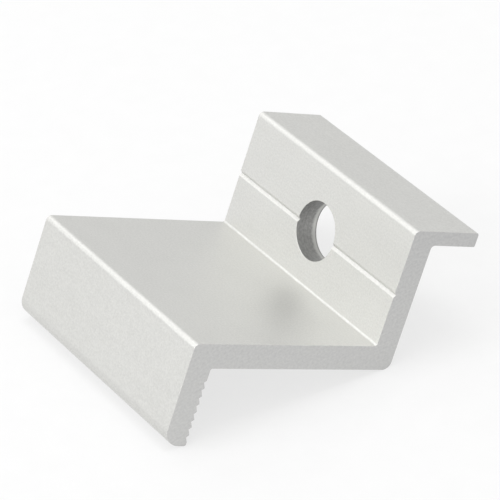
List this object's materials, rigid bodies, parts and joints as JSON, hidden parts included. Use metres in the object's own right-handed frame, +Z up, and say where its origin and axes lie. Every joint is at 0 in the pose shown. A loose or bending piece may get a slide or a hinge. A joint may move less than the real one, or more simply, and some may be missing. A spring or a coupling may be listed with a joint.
{
  "type": "solar end clamp",
  "caption": "Z-shaped end clamp for a framed solar module: serrated lip over the frame, wall beside it, drilled bolt flange and a foot for the rail.",
  "frame": {"origin": "middle of the underside of the clamp's bounding box, on the surface that the clamp lies on", "axes": "+X across the clamp from the lip to the foot, +Y along the extrusion, +Z up with the clamp lying on the lip's corner and the heel"},
  "size_m": [0.0524, 0.04, 0.0213],
  "materials": {
    "anodised_aluminium": "satin clear anodised"
  },
  "bodies": {
    "root": {"end_clamp": "anodised_aluminium"}
  },
  "joints": []
}
